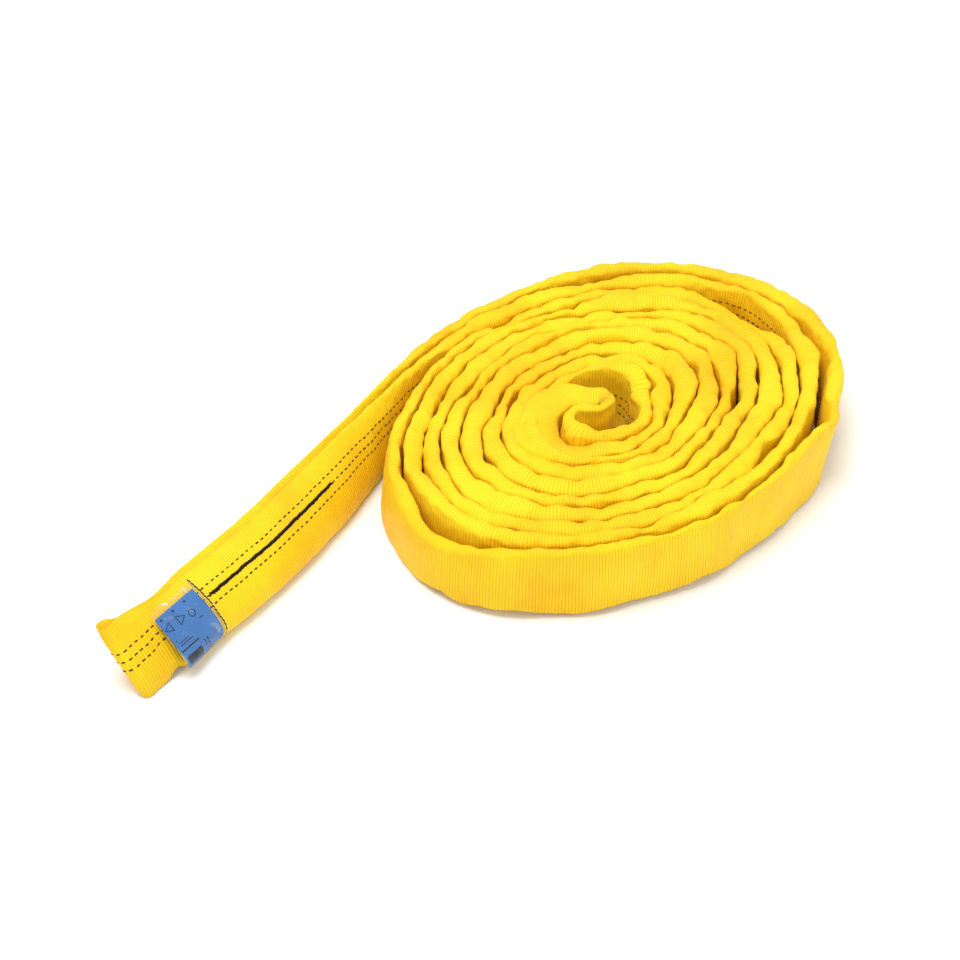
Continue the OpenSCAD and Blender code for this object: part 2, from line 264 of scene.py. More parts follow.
def rings(side):
    """The rings of one ply: side 1 is the outer ply of the coil, -1 the inner one, which is the front
    one in the free end."""
    seed = 60 if side > 0 else 90
    if side > 0:
        xi = GAP + mid_move + parted * (0.5 + 0.3 * outer_turn[:, None])
        xo = (half - GAP)[:, None] + out_move - 0.5 * parted_out + 0.9 * parted * outer_turn[:, None]
    else:
        xi = GAP - mid_move + 0.5 * parted
        xo = (half - GAP)[:, None] - a_turn_in(out_move) - 0.5 * a_turn_in(parted_out)
    buckle = np.clip(wave(seed, sm, 34) - 0.25, 0, 1) * quiet
    dent = np.clip(wave(seed + 1, sm, 15) - 0.45, 0, 1) * quiet
    if side > 0:
        xo = xo + fill_in[:, None]
        xo = xo + (outer_turn * (1 - free) * 2.6 * wave(72, sm, 62))[:, None] * (1 - top)
    xo = xo * (1 - 0.36 * flat_nose[:, None])
    if side > 0:
        xi = xi + 2.0 * (free * (1 - flat_nose))[:, None]
        xo = xo + 2.0 * (free * (1 - flat_nose))[:, None]
    mid = (xo + xi) / 2
    w = np.maximum((xo - xi) / 2, 2.6) * (1 - 0.3 * buckle[:, None] * top)
    if side > 0:
        # along the front the outermost fold is creased flat, and the ply inside it leans against it
        creased = (outer_turn * smooth(tt, -250, -190) * (1 - smooth(tt, -40, 10)))[:, None]
        w, mid = w * (1 - 0.42 * creased * top ** 2), mid - 0.20 * w * creased * top
    env = envelope(U[None, :], free[:, None])
    ps, bw = lean[:, None], bow[:, None]
    x = (mid + V * env * w) / np.cos(ps)
    sag = 1.5 + 1.7 * wave(seed + 2, sm, 110) + 0.9 * wave(seed + 3, sm, 42)
    h_top = chord - quiet * (1 - 0.6 * outer_turn) * sag - 2.0 * buckle - 0.8 * dent
    if side > 0:
        h_top = (h_top - 10.5 * near(-130, 22) - 2.5 * near(-60, 18) - 11 * near(-315, 17)
                 + 3 * near(90, 30) - 3 * near(84, 7))
    else:
        h_top = h_top - 4 * near(-315, 15) - 3 * near(-13, 6)
    nested = free * (side > 0) * (1 - smooth(sm, total - 15, total - 1))
    h_top = h_top - 5.0 * nested
    s_h = h_top[:, None] * (1 + U[None, :]) / 2
    tilt = (0.30 * wave(seed + 4, sm, 130) + 0.20 * wave(seed + 5, sm, 50)) * quiet
    rise = tilt[:, None] * V * env * w * top
    # narrow folds that run slantwise over the crest
    across = sm[:, None] + V * env * w * 0.7 * wave(seed + 6, sm, 90)[:, None]
    fold = (np.clip(1 - np.abs(wave(seed + 7, across, 37)) * 6, 0, 1)
            + 0.7 * np.clip(1 - np.abs(wave(seed + 8, across, 24)) * 4, 0, 1))
    rise = rise - 2.1 * fold * (quiet * (1 - 0.7 * outer_turn))[:, None] * np.clip(top * 1.4 - 0.3, 0, 1)
    if side < 0:
        # beside the label the front ply is drawn in, and its lower fold is pulled up
        from_end = total - sm
        draw = np.exp(-((from_end - 34) / 8) ** 2) * 4.0 + np.exp(-((from_end - 21) / 5) ** 2) * 3.0
        x = x - draw[:, None] * np.exp(-((U + 0.15) / 0.5) ** 2) * (V > 0)
        rise = rise + 7.0 * np.exp(-((from_end - 26) / 5.5) ** 2)[:, None] * ((1 - U) / 2) ** 5
    if side > 0:
        # the bottom fold of the free wall lifts off the floor here and there
        edge = np.clip(0.6 + 1.1 * wave(73, sm, 58) + 0.5 * wave(74, sm, 27), 0, 3) * outer_turn * (1 - free)
        rise = rise + 3.6 * edge[:, None] * ((1 - U) / 2) ** 5
    e = side * normal
    out = normal[:, None, :] * (s_h * np.sin(ps) - bw * (1 - U[None, :] ** 2))[..., None]
    xy = mid_p[:, None, :] + e[:, None, :] * x[..., None] + out
    z = s_h * np.cos(ps) + rise
    return np.concatenate([xy, z[..., None]], -1)


def bight(i, angles, along, radius_out, radius_in, fill=0.0):
    """The rings round an end, from the outer ply to the inner one, or back."""
    n, ps, bw = normal[i], lean[i], bow[i]
    got = []
    for a in angles:
        e = n * math.cos(a) + along * math.sin(a)
        env = envelope(U, free[i])
        reach = radius_out + fill * max(0.0, math.cos(a)) ** 0.8
        x = ((reach + radius_in) / 2 + V * env * (reach - radius_in) / 2) / math.cos(ps)
        s_h = chord[i] * (1 + U) / 2
        out = n[None, :] * (s_h * math.sin(ps) - bw * (1 - U ** 2))[:, None]
        xy = mid_p[i] + e[None, :] * x[:, None] + out
        got.append(np.concatenate([xy, (s_h * math.cos(ps))[:, None]], -1))
    return np.array(got)


ply_a, ply_b = rings(1), rings(-1)
turn = np.radians(np.arange(20, 161, 20))
outer_bight = bight(-1, turn, tangent[-1], (half[-1] - GAP) * 0.64, 0.5)
inner_bight = bight(0, turn[::-1], -tangent[0], PLY_T + GAP, 0.5, INNER_FILL)


def close_up(p):
    """The turns right of the hole crowd in on it, which leaves it as narrow as it is."""
    d = p - HOLE
    r = np.linalg.norm(d, axis=-1)
    angle = np.degrees(np.arctan2(d[..., 1], d[..., 0]))
    pull = 20 * np.exp(-((angle - 8) / 55) ** 2) * (1 - smooth(r, 28, 150))
    return HOLE + d * ((r - pull) / np.maximum(r, 1e-6))[..., None]


tube = np.concatenate([ply_a, outer_bight, ply_b[::-1], inner_bight])
tube[..., :2] = close_up(tube[..., :2])
n_a, n_bight = len(ply_a), len(outer_bight)


def shift(a, by):
    return np.roll(a, by, axis=0)


def normals_of(v):
    d_s = shift(v, -1) - shift(v, 1)
    d_k = np.roll(v, -1, axis=1) - np.roll(v, 1, axis=1)
    got = np.cross(d_k, d_s)
    return got / np.maximum(np.linalg.norm(got, axis=-1, keepdims=True), 1e-9)


# small puckers in the fabric, everywhere
nor = normals_of(tube)
centre = tube.mean(axis=1, keepdims=True)
if ((tube - centre) * nor).sum() < 0:
    nor = -nor
pucker = np.array([[noise.noise(Vector(p) * 0.055) * 0.6 + noise.noise(Vector(p) * 0.13) * 0.35
                    for p in ring] for ring in tube])
near_hole = 1 - smooth(sm, 110, 250)
loose = 1 + 2.2 * np.concatenate([near_hole, np.zeros(n_bight), near_hole[::-1], np.ones(len(inner_bight))])
tube = tube + nor * (pucker * loose[:, None])[..., None]
tube[..., 2] = np.maximum(tube[..., 2], FLOOR_GAP)

# ---------------------------------------------------------------- lengths along and round the sleeve
step_len = np.linalg.norm(shift(tube, -1) - tube, axis=-1)[:, 1:M // 2].mean(axis=1)
along = np.concatenate([[0], np.cumsum(step_len)])
along *= round(along[-1] / RIB) * RIB / along[-1]
around = np.linspace(0, 2 * SLEEVE_W, M + 1)


def mesh_object(name, verts, faces, material, smooth_faces=True, uv=None):
    mesh = bpy.data.meshes.new(name)
    mesh.from_pydata([tuple(v) for v in np.asarray(verts) / 1000.0], [], faces)
    if uv is not None:
        layer = mesh.uv_layers.new(name="weave")
        layer.data.foreach_set("uv", np.asarray(uv, np.float32).ravel())
    mesh.materials.append(material)
    if smooth_faces:
        mesh.polygons.foreach_set("use_smooth", [True] * len(mesh.polygons))
    mesh.update()
    ob = bpy.data.objects.new(name, mesh)
    scene.collection.objects.link(ob)
    return ob


def face_outwards(ob):
    bm = bmesh.new()
    bm.from_mesh(ob.data)
    bmesh.ops.recalc_face_normals(bm, faces=bm.faces)
    bm.to_mesh(ob.data)
    bm.free()


def thin_faces(nx, ny):
    """The faces of a thin sheet: nx by ny points of its lower side, then as many of its upper side."""
    def at(i, j, upper):
        return upper * nx * ny + i * ny + j

    f = []
    for i in range(nx - 1):
        for j in range(ny - 1):
            f.append((at(i, j, 1), at(i + 1, j, 1), at(i + 1, j + 1, 1), at(i, j + 1, 1)))
            f.append((at(i, j, 0), at(i, j + 1, 0), at(i + 1, j + 1, 0), at(i + 1, j, 0)))
    for i in range(nx - 1):
        for j in (0, ny - 1):
            f.append((at(i, j, 0), at(i + 1, j, 0), at(i + 1, j, 1), at(i, j, 1)))
    for j in range(ny - 1):
        for i in (0, nx - 1):
            f.append((at(i, j, 0), at(i, j + 1, 0), at(i, j + 1, 1), at(i, j, 1)))
    return f


# ---------------------------------------------------------------- materials
def new_material(name):
    mat = bpy.data.materials.new(name)
    mat.use_nodes = True
    tree = mat.node_tree
    return mat, tree, tree.nodes["Principled BSDF"]


def node(tree, kind, **values):
    n = tree.nodes.new(kind)
    for key, value in values.items():
        if hasattr(n, key):
            setattr(n, key, value)
        else:
            n.inputs[key].default_value = value
    return n


def math_node(tree, op, a, b=None, clamp=False):
    n = tree.nodes.new("ShaderNodeMath")
    n.operation = op
    n.use_clamp = clamp
    for i, x in enumerate((a, b)):
        if x is None:
            continue
        if isinstance(x, (int, float)):
            n.inputs[i].default_value = x
        else:
            tree.links.new(x, n.inputs[i])
    return n.outputs[0]


def noise_node(tree, vector, scale, detail):
    n = node(tree, "ShaderNodeTexNoise", Scale=scale, Detail=detail)
    tree.links.new(vector, n.inputs["Vector"])
    return n.outputs[0]


def colours(tree, share, start, first, end, last):
    """From one colour to another, as share goes from start to end."""
    ramp = node(tree, "ShaderNodeValToRGB")
    ramp.color_ramp.elements[0].position, ramp.color_ramp.elements[0].color = start, first
    ramp.color_ramp.elements[1].position, ramp.color_ramp.elements[1].color = end, last
    tree.links.new(share, ramp.inputs[0])
    return ramp.outputs[0]


def bump_node(tree, bsdf, height, strength, distance):
    bump = node(tree, "ShaderNodeBump", Strength=strength, Distance=distance)
    tree.links.new(height, bump.inputs["Height"])
    tree.links.new(bump.outputs[0], bsdf.inputs["Normal"])


def object_coordinates(tree):
    return node(tree, "ShaderNodeTexCoord").outputs["Object"]


def sleeve_material():
    mat, tree, bsdf = new_material("sleeve_weave")
    link = tree.links.new
    uv = node(tree, "ShaderNodeUVMap", uv_map="weave")
    sep = node(tree, "ShaderNodeSeparateXYZ")
    link(uv.outputs[0], sep.inputs[0])
    # ribs across the sleeve: rounded cords with a narrow groove between them
    phase = math_node(tree, "FRACT", math_node(tree, "MULTIPLY", sep.outputs[0], 1000 / RIB))
    rib = math_node(tree, "SINE", math_node(tree, "MULTIPLY", phase, math.pi))
    rib = math_node(tree, "POWER", rib, 0.6)
    # the warp yarns that bind the ribs, fine lines along the sleeve
    warp_phase = math_node(tree, "MULTIPLY", sep.outputs[1], 2 * math.pi / 0.0009)
    warp = math_node(tree, "ABSOLUTE", math_node(tree, "SINE", warp_phase))
    height = math_node(tree, "ADD", rib, math_node(tree, "MULTIPLY", warp, 0.12))
    bump_node(tree, bsdf, height, 1.0, 0.00042)
    # colour: large soft patches, a slight shade from yarn to yarn, and painted shade that darkens the grooves
    # between the ribs
    patches = noise_node(tree, object_coordinates(tree), 14.0, 4.0)
    yellow = colours(tree, patches, 0.33, (0.93, 0.53, 0.003, 1), 0.62, (0.99, 0.68, 0.009, 1))
    stretched = node(tree, "ShaderNodeMapping")
    stretched.inputs["Scale"].default_value = (1000 / RIB, 12, 1)
    link(uv.outputs[0], stretched.inputs[0])
    yarn = noise_node(tree, stretched.outputs[0], 1.0, 2.0)
    # painted shade: the colour is darker in the grooves between the ribs, beside a slight tone that changes
    # from yarn to yarn
    yarn_tone_and_painted_groove_shade = math_node(tree, "ADD", math_node(tree, "MULTIPLY", rib, 0.20),
                      math_node(tree, "MULTIPLY", yarn, 0.10))
    yarn_tone_and_painted_groove_shade = math_node(tree, "ADD", yarn_tone_and_painted_groove_shade, 0.755)
    tint = node(tree, "ShaderNodeMix", data_type="RGBA", blend_type="MULTIPLY")
    tint.inputs[0].default_value = 1.0
    link(yellow, tint.inputs[6])
    grey = node(tree, "ShaderNodeCombineColor")
    for i in range(3):
        link(yarn_tone_and_painted_groove_shade, grey.inputs[i])
    link(grey.outputs[0], tint.inputs[7])
    link(tint.outputs[2], bsdf.inputs["Base Color"])
    rough = math_node(tree, "ADD", math_node(tree, "MULTIPLY", yarn, 0.16), 0.46)
    link(rough, bsdf.inputs["Roughness"])
    bsdf.inputs["Specular IOR Level"].default_value = 0.22
    bsdf.inputs["Sheen Weight"].default_value = 0.06
    bsdf.inputs["Sheen Roughness"].default_value = 0.45
    bsdf.inputs["Sheen Tint"].default_value = (1.0, 0.86, 0.4, 1)
    return mat


def yarn_material(name, dark, light, rough=0.7, scale=900.0, sheen=0.1):
    mat, tree, bsdf = new_material(name)
    fibres = noise_node(tree, object_coordinates(tree), scale, 3.0)
    tree.links.new(colours(tree, fibres, 0.3, dark, 0.75, light), bsdf.inputs["Base Color"])
    bump_node(tree, bsdf, fibres, 0.6, 0.0001)
    bsdf.inputs["Specular IOR Level"].default_value = 0.2
    bsdf.inputs["Roughness"].default_value = rough
    bsdf.inputs["Sheen Weight"].default_value = sheen
    return mat


sleeve_mat = sleeve_material()
marker_mat = yarn_material("marker_yarn", (0.006, 0.004, 0.003, 1), (0.025, 0.018, 0.010, 1), sheen=0.0)

# ---------------------------------------------------------------- the sleeve
R = len(tube)
faces, uvs = [], []
for i in range(R):
    j = (i + 1) % R
    for k in range(M):
        l = (k + 1) % M
        faces.append((i * M + k, j * M + k, j * M + l, i * M + l))
        uvs += [(along[i] / 1000, around[k] / 1000), (along[i + 1] / 1000, around[k] / 1000),
                (along[i + 1] / 1000, around[k + 1] / 1000), (along[i] / 1000, around[k + 1] / 1000)]
sleeve = mesh_object("sleeve", tube.reshape(-1, 3), faces, sleeve_mat, uv=uvs)
sleeve.data.validate()
face_outwards(sleeve)


def settle(ob, frames=14, cap=1.1):
    """A short cloth run lets the loose sleeve wrinkle round the hank: the fabric is a little too long
    for its shape, the faces are held lightly and the top fold hardly at all. What it moves is capped."""
    start = tube.reshape(-1, 3)
    group = ob.vertex_groups.new(name="held")
    hold = np.tile(0.94 - 0.5 * np.clip(top, 0, 1), (R, 1))
    calm = np.concatenate([free, np.ones(n_bight), free[::-1], np.zeros(len(inner_bight))])
    hold = np.maximum(hold, (0.86 * calm)[:, None]).reshape(-1)
    for level in np.unique(np.round(hold, 2)):
        group.add([int(i) for i in np.where(np.round(hold, 2) == level)[0]], float(level), "REPLACE")
    cloth = ob.modifiers.new("cloth", "CLOTH")
    st = cloth.settings
    st.quality = 4
    st.mass = 0.3
    st.tension_stiffness = st.compression_stiffness = 25
    st.shear_stiffness = 8
    st.bending_stiffness = 0.15
    st.air_damping = 4
    st.effector_weights.gravity = 0
    st.vertex_group_mass = "held"
    st.pin_stiffness = 3
    st.shrink_min = -0.05
    cloth.collision_settings.use_collision = False
    cloth.point_cache.frame_start, cloth.point_cache.frame_end = 1, frames
    for f in range(1, frames + 1):
        scene.frame_set(f)
    got = ob.evaluated_get(bpy.context.evaluated_depsgraph_get()).to_mesh()
    end = np.empty(len(start) * 3)
    got.vertices.foreach_get("co", end)
    ob.modifiers.remove(cloth)
    ob.vertex_groups.remove(group)
    scene.frame_set(1)
    move = end.reshape(-1, 3) * 1000 - start
    length = np.linalg.norm(move, axis=1, keepdims=True)
    move *= np.minimum(1, cap / np.maximum(length, 1e-9))
    return (start + move).reshape(tube.shape)


tube = settle(sleeve)
tube[..., 2] = np.maximum(tube[..., 2], FLOOR_GAP)
sleeve.data.vertices.foreach_set("co", (tube / 1000).ravel())
sleeve.data.update()
sub = sleeve.modifiers.new("subdivision", "SUBSURF")
sub.levels = sub.render_levels = 1
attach(sleeve, "sling")
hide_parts("sleeve_coil", "sleeve_free_end")

# the middle of the strand, between the two plies as they now lie
line = (tube[:n_a].mean(axis=1) + tube[n_a + n_bight:2 * n_a + n_bight][::-1].mean(axis=1)) / 2
line[:, 2] = SLEEVE_W / 2
line = line[::-1] / 1000
line[0, 2] = 0.026

# ---------------------------------------------------------------- a place on the sleeve
# limit is where the subdivided surface ends up
limit = (4 * tube + 0.5 * (shift(tube, 1) + shift(tube, -1))
         + 0.5 * (np.roll(tube, 1, 1) + np.roll(tube, -1, 1))) / 6
limit_n = unit(normals_of(limit))
if ((limit - limit.mean(axis=1, keepdims=True)) * limit_n).sum() < 0:
    limit_n = -limit_n
ring_steps = np.linalg.norm(np.roll(limit, -1, 1) - limit, axis=-1)
ring_run = np.concatenate([np.zeros((R, 1)), np.cumsum(ring_steps, axis=1)], axis=1)
ring_run /= ring_run[:, -1:]


def on_sleeve(i, c):
    """Positions and normals at ring i and c mm round the sleeve of 124 mm, from the top fold down the
    side that faces away from the other ply, and up the side between the plies."""
    i, c = np.asarray(i, float), np.asarray(c, float) / (2 * SLEEVE_W)
    lo = np.floor(i).astype(int)
    f = (i - lo)[:, None]
    got = []
    for r in (lo % R, (lo + 1) % R):
        k = np.array([np.searchsorted(ring_run[a], b, side="right") - 1 for a, b in zip(r, c)])
        k = np.clip(k, 0, M - 1)
        g = ((c - ring_run[r, k]) / np.maximum(ring_run[r, k + 1] - ring_run[r, k], 1e-9))[:, None]
        l = (k + 1) % M
        got.append((limit[r, k] * (1 - g) + limit[r, l] * g,
                    limit_n[r, k] * (1 - g) + limit_n[r, l] * g))
    return got[0][0] * (1 - f) + got[1][0] * f, unit(got[0][1] * (1 - f) + got[1][1] * f)


def ring_b(s):
    """The ring of the front ply at distance s along the strand from its inner end."""
    return n_a + n_bight + (n_a - 1) - np.asarray(s, float) / total * (n_a - 1)


class Threads:
    """Short lengths of thread laid on a surface, all in one mesh."""

    def __init__(self):
        self.verts, self.faces = [], []

    def add(self, pts, nor, width, height, ends=0.45, sink=0.35):
        pts, nor = np.asarray(pts, float), np.asarray(nor, float)
        d = unit(np.gradient(pts, axis=0))
        side = unit(np.cross(d, nor))
        n = len(pts)
        scale = np.ones(n)
        scale[0] = scale[-1] = ends
        base = len(self.verts)
        section = [(-1, -sink), (-0.8, 0.55), (0, 1), (0.8, 0.55), (1, -sink)]
        for q in range(n):
            for x, z in section:
                up = z * height * (scale[q] if z > 0 else 1)
                self.verts.append(pts[q] + side[q] * x * width / 2 * scale[q] + nor[q] * up)
        m = len(section)
        for q in range(n - 1):
            for k in range(m):
                a, b = base + q * m + k, base + q * m + (k + 1) % m
                self.faces.append((a, b, b + m, a + m))
        self.faces.append(tuple(base + k for k in range(m))[::-1])
        self.faces.append(tuple(base + (n - 1) * m + k for k in range(m)))

    def build(self, name, material):
        ob = mesh_object(name, self.verts, self.faces, material)
        face_outwards(ob)
        return ob


# ---------------------------------------------------------------- marker yarns
s_label = s_route[8]
seam_hi, seam_lo = s_label - 6, s_label - 6 - SEAM_LEN
rng = np.random.RandomState(7)
# the upper row's distance round the sleeve, on the front ply and then on the back one: in the coil by
# angle on the spiral, in the free end by distance along it
knot_t = [-1700, -1584, -1500, -1400, -1346, -1290, -1253, -1210, -1100, -900, -600, -300, -60, 60, 144]
knot_c = [6, 5, 22, 27, 27, 24, 12, 22, 26, 27, 26, 27, 26, 15, 15]
row_b = np.where(inside, np.interp(tt, knot_t, knot_c), 15.5 + 6.5 * smooth(sm, s_label - 30, total + 15))
knot_t = [-1700, -1584, -1430, -1420, -1410, -1310, -1298, -1286, -1100, -900, -640, -623, -605, -400]
knot_c = [80, 82, 88, 95.5, 88, 88, 95.5, 88, 82, 80, 90, 95.5, 90, 80]
row_a = np.where(inside, np.interp(tt, knot_t, knot_c),
                 np.interp(total - sm, [0, 20, 100, 200, 330], [22, 25, 60, 72, 80]))
for _ in range(8):
    row_b[1:-1] = (row_b[:-2] + 2 * row_b[1:-1] + row_b[2:]) / 4
    row_a[1:-1] = (row_a[:-2] + 2 * row_a[1:-1] + row_a[2:]) / 4
# the same rows as one line round the loop, ring by ring
row_c = np.concatenate([row_a, np.linspace(row_a[-1], row_b[-1], n_bight + 2)[1:-1], row_b[::-1],
                        np.linspace(row_b[0], row_a[0], len(inner_bight) + 2)[1:-1]])
for name, row in (("marker_upper", 0), ("marker_middle", 1), ("marker_lower", 2)):
    threads = Threads()
    at = 2.0 + 1.3 * row
    while at < along[-1] - 160:
        span = np.interp(at + np.array([0, 1.0, 2.1, 3.1]) * rng.uniform(0.92, 1.08),
                         along[:-1], np.arange(R))
        at += 5.4 * rng.uniform(0.96, 1.04)
        s_at = (2 * n_a + n_bight - 1 - span.mean()) / (n_a - 1) * total
        if row == 1 and seam_lo < s_at < seam_hi:
            continue
        c = np.interp(span, np.arange(R), row_c) + row * MARKER_PITCH + rng.uniform(-0.15, 0.15)
        p, n = on_sleeve(span, c)
        threads.add(p, n, 1.2, 0.42)
    ob = threads.build(name, marker_mat)
    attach(ob, "sling")
    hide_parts(name.replace("marker_", "marker_yarn_"))

# ---------------------------------------------------------------- closing seam: dense slanted stitches
seam_mat = yarn_material("seam_thread", (0.003, 0.002, 0.002, 1), (0.014, 0.010, 0.008, 1),
                         rough=0.75, sheen=0.0)
threads = Threads()
at = seam_lo
while at < seam_hi:
    mid_c = row_b[np.searchsorted(sm, at)] + MARKER_PITCH + 0.25 * wave(5, at, 30)
    reach = rng.uniform(0.8, 1.5)
    run = rng.uniform(1.6, 3.0)
    c = mid_c + np.array([-reach, -0.3, 0.3, reach]) * (1 if rng.rand() < 0.5 else -1)
    p, n = on_sleeve(ring_b(at + np.array([-run, -run / 3, run / 3, run])), c)
    threads.add(p, n, rng.uniform(1.2, 1.7), rng.uniform(0.6, 0.95))
    at += rng.uniform(1.0, 1.5)
for reach in (-0.5, 0.45):
    span = np.arange(seam_lo, seam_hi, 3.0)
    c = np.interp(span, sm, row_b) + MARKER_PITCH + reach + 0.25 * wave(5, span, 30)
    p, n = on_sleeve(ring_b(span), c)
    threads.add(p, n, 1.5, 0.6)
seam = threads.build("closing_stitches", seam_mat)
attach(seam, "sling"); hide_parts("closing_seam")

# ---------------------------------------------------------------- the yarn hank inside, and its tape
def inner_tube(name, first, last, material, thick, tall, every=2, closed=False):
    """A tube inside the sleeve from one ring to another: thick and tall are shares of its section."""
    idx = np.arange(first, last, every)
    ks = np.arange(0, M, 2)
    # each section follows the middle of the sleeve's own section, so that it bends with it
    levels = np.arange(M // 2, -1, -1)
    mid = (tube[idx][:, levels] + tube[idx][:, (M - levels) % M]) / 2
    wide = (tube[idx][:, levels] - tube[idx][:, (M - levels) % M]) / 2
    at = np.interp(tall * U[ks], U[levels], np.arange(len(levels)))
    lo = np.clip(np.floor(at).astype(int), 0, len(levels) - 2)
    f = (at - lo)[None, :, None]
    close = (np.sign(np.round(su[ks], 9)) * np.sqrt(1 - U[ks] ** 4) * thick)[None, :, None]
    v = mid[:, lo] * (1 - f) + mid[:, lo + 1] * f + (wide[:, lo] * (1 - f) + wide[:, lo + 1] * f) * close
    n, m = len(idx), len(ks)
    f = [(i * m + k, ((i + 1) % n) * m + k, ((i + 1) % n) * m + (k + 1) % m, i * m + (k + 1) % m)
         for i in range(n if closed else n - 1) for k in range(m)]
    if not closed:
        f += [tuple(range(m))[::-1], tuple((n - 1) * m + k for k in range(m))]
    uv = [(idx[i] * STEP / 1000 + (every * STEP / 1000 if e else 0), (k + g) * 0.008)
          for i in range(n if closed else n - 1) for k in range(m)
          for e, g in ((0, 0), (1, 0), (1, 1), (0, 1))]
    if not closed:
        uv += [(0, 0)] * (2 * m)
    ob = mesh_object(name, v.reshape(-1, 3), f, material, uv=uv)
    face_outwards(ob)
    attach(ob, "sling")
    return ob


core_mat = yarn_material("hank_yarn", (0.72, 0.69, 0.58, 1), (0.9, 0.88, 0.8, 1), scale=500.0, sheen=0.2)
tape_mat = yarn_material("tape", (0.74, 0.74, 0.72, 1), (0.82, 0.82, 0.8, 1), rough=0.35, scale=60.0, sheen=0.0)
hank = inner_tube("yarn_hank", 0, R, core_mat, 0.6, 0.86, closed=True)
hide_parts("core_coil", "core_free_end")
tape = inner_tube("yarn_tape", int(ring_b(s_route[5])), int(ring_b(s_route[4])) + 1, tape_mat,
                  0.72, 0.9, every=1)
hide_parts("yarn_end_tape")

# ---------------------------------------------------------------- the label in its clear wallet
# its frame: y along the hinge, x back along the strand, z off the sleeve
hinge = frame["record"]["behaviour"]["joints"][0]
origin = np.array(hinge["pos_m"]) * 1000
ly = unit(np.array(hinge["axis"], float))
lx = np.array([*-tangent[np.searchsorted(sm, s_label)], 0.0])
lx = unit(lx - ly * (lx @ ly))
lz = np.cross(lx, ly)
LABEL_L, LABEL_W, MARGIN = 37.0, 42.0, 3.0
WALLET_L, WALLET_W = LABEL_L + 2 * MARGIN, LABEL_W + 2 * MARGIN
# the sleeve's face under the label, as height over the label's frame
rows = np.arange(int(ring_b(s_label + 62)), int(ring_b(s_label - 16)) + 1)
GRID_STEP = 1.5
face_x, face_z, grid_y = [], [], np.arange(-30, 31, GRID_STEP)
for r in rows:
    p, _ = on_sleeve(np.full(40, float(r)), np.linspace(1, 61, 40))
    q = (p - origin) @ np.stack([lx, ly, lz], -1)
    order = np.argsort(q[:, 1])
    face_x.append(q[:, 0].mean())
    face_z.append(np.interp(grid_y, q[order, 1], q[order, 2], left=-30, right=-30))
face_x, face_z = np.array(face_x), np.array(face_z)
order = np.argsort(face_x)
face_x, face_z = face_x[order], face_z[order]


def between(z, row, col):
    """The value between four neighbours of a grid, at a broken row and column."""
    row, col = np.clip(row, 0, z.shape[0] - 1.001), np.clip(col, 0, z.shape[1] - 1.001)
    i, j = row.astype(int), col.astype(int)
    f, g = row - i, col - j
    return ((z[i, j] * (1 - f) + z[i + 1, j] * f) * (1 - g)
            + (z[i, j + 1] * (1 - f) + z[i + 1, j + 1] * f) * g)


def face_at(x, y):
    """The height of the sleeve's face under the label."""
    return between(face_z, np.interp(x, face_x, np.arange(len(face_x))), (y - grid_y[0]) / GRID_STEP)


# the label's underside at rest, on a grid: stiffer than the sleeve, it lies on it without following it
GRID_X, GRID_Y = 45, 49
GX, GY = np.meshgrid(np.linspace(-WALLET_L, 0, GRID_X), np.linspace(-WALLET_W / 2, WALLET_W / 2, GRID_Y),
                     indexing="ij")
under = face_at(GX, GY)
sewn_z = face_at(np.zeros_like(GY), GY)
stiff = smooth(-GX, 2, 34)
rest_z = np.maximum(sewn_z * (1 - 0.6 * stiff) - 1.5 * stiff + 0.9, under + 0.9)
rest_z = rest_z + 1.6 * smooth(-GX, 20, 43) * smooth(-GY, 6, 24)
for _ in range(14):
    pad = np.pad(rest_z, 1, mode="edge")
    rest_z = (pad[:-2, 1:-1] + pad[2:, 1:-1] + pad[1:-1, :-2] + pad[1:-1, 2:] + 4 * rest_z) / 8


def ground(x, y):
    """The label's height there at which it would just clear the floor."""
    return (1.2 - origin[2] - x * lx[2] - y * ly[2]) / lz[2]


rest_z = np.maximum(np.maximum(rest_z, under + 0.7), ground(GX, GY))


def label_z(x, y):
    """The height of the label's underside at rest."""
    return between(rest_z, (x + WALLET_L) / WALLET_L * (GRID_X - 1),
                   (y + WALLET_W / 2) / WALLET_W * (GRID_Y - 1))


def place(x, y, z):
    """From the label's frame to the part's."""
    x, y, z = (np.asarray(v, float) for v in (x, y, z))
    return origin + x[..., None] * lx + y[..., None] * ly + z[..., None] * lz


def sheet_piece(name, x0, x1, y0, y1, nx, ny, lift, thick, material, corner=0.0):
    """A thin sheet over the label's ground, with rounded far corners."""
    a, b = np.meshgrid(np.linspace(0, 1, nx), np.linspace(0, 1, ny), indexing="ij")
    x, y = x0 + (x1 - x0) * a, y0 + (y1 - y0) * b
    if corner:
        mid_y, hy = (y0 + y1) / 2, (y1 - y0) / 2
        cut = np.maximum(0, corner - (x - x0)) / corner
        lim = hy - corner * (1 - np.sqrt(np.maximum(0, 1 - cut ** 2)))
        y = mid_y + (y - mid_y) * lim / hy
    z = label_z(x, y) + (lift(x, y) if callable(lift) else lift)
    verts = np.concatenate([place(x, y, z).reshape(-1, 3), place(x, y, z + thick).reshape(-1, 3)])
    ob = mesh_object(name, verts, thin_faces(nx, ny), material)
    face_outwards(ob)
    return ob


def label_material():
    mat, tree, bsdf = new_material("label_blue")
    coord = object_coordinates(tree)
    cloudy = noise_node(tree, coord, 60.0, 3.0)
    blue = colours(tree, cloudy, 0.35, (0.022, 0.125, 0.36, 1), 0.65, (0.030, 0.150, 0.41, 1))
    tree.links.new(blue, bsdf.inputs["Base Color"])
    bump_node(tree, bsdf, noise_node(tree, coord, 1800.0, 1.0), 0.3, 0.0001)
    bsdf.inputs["Roughness"].default_value = 0.45
    return mat


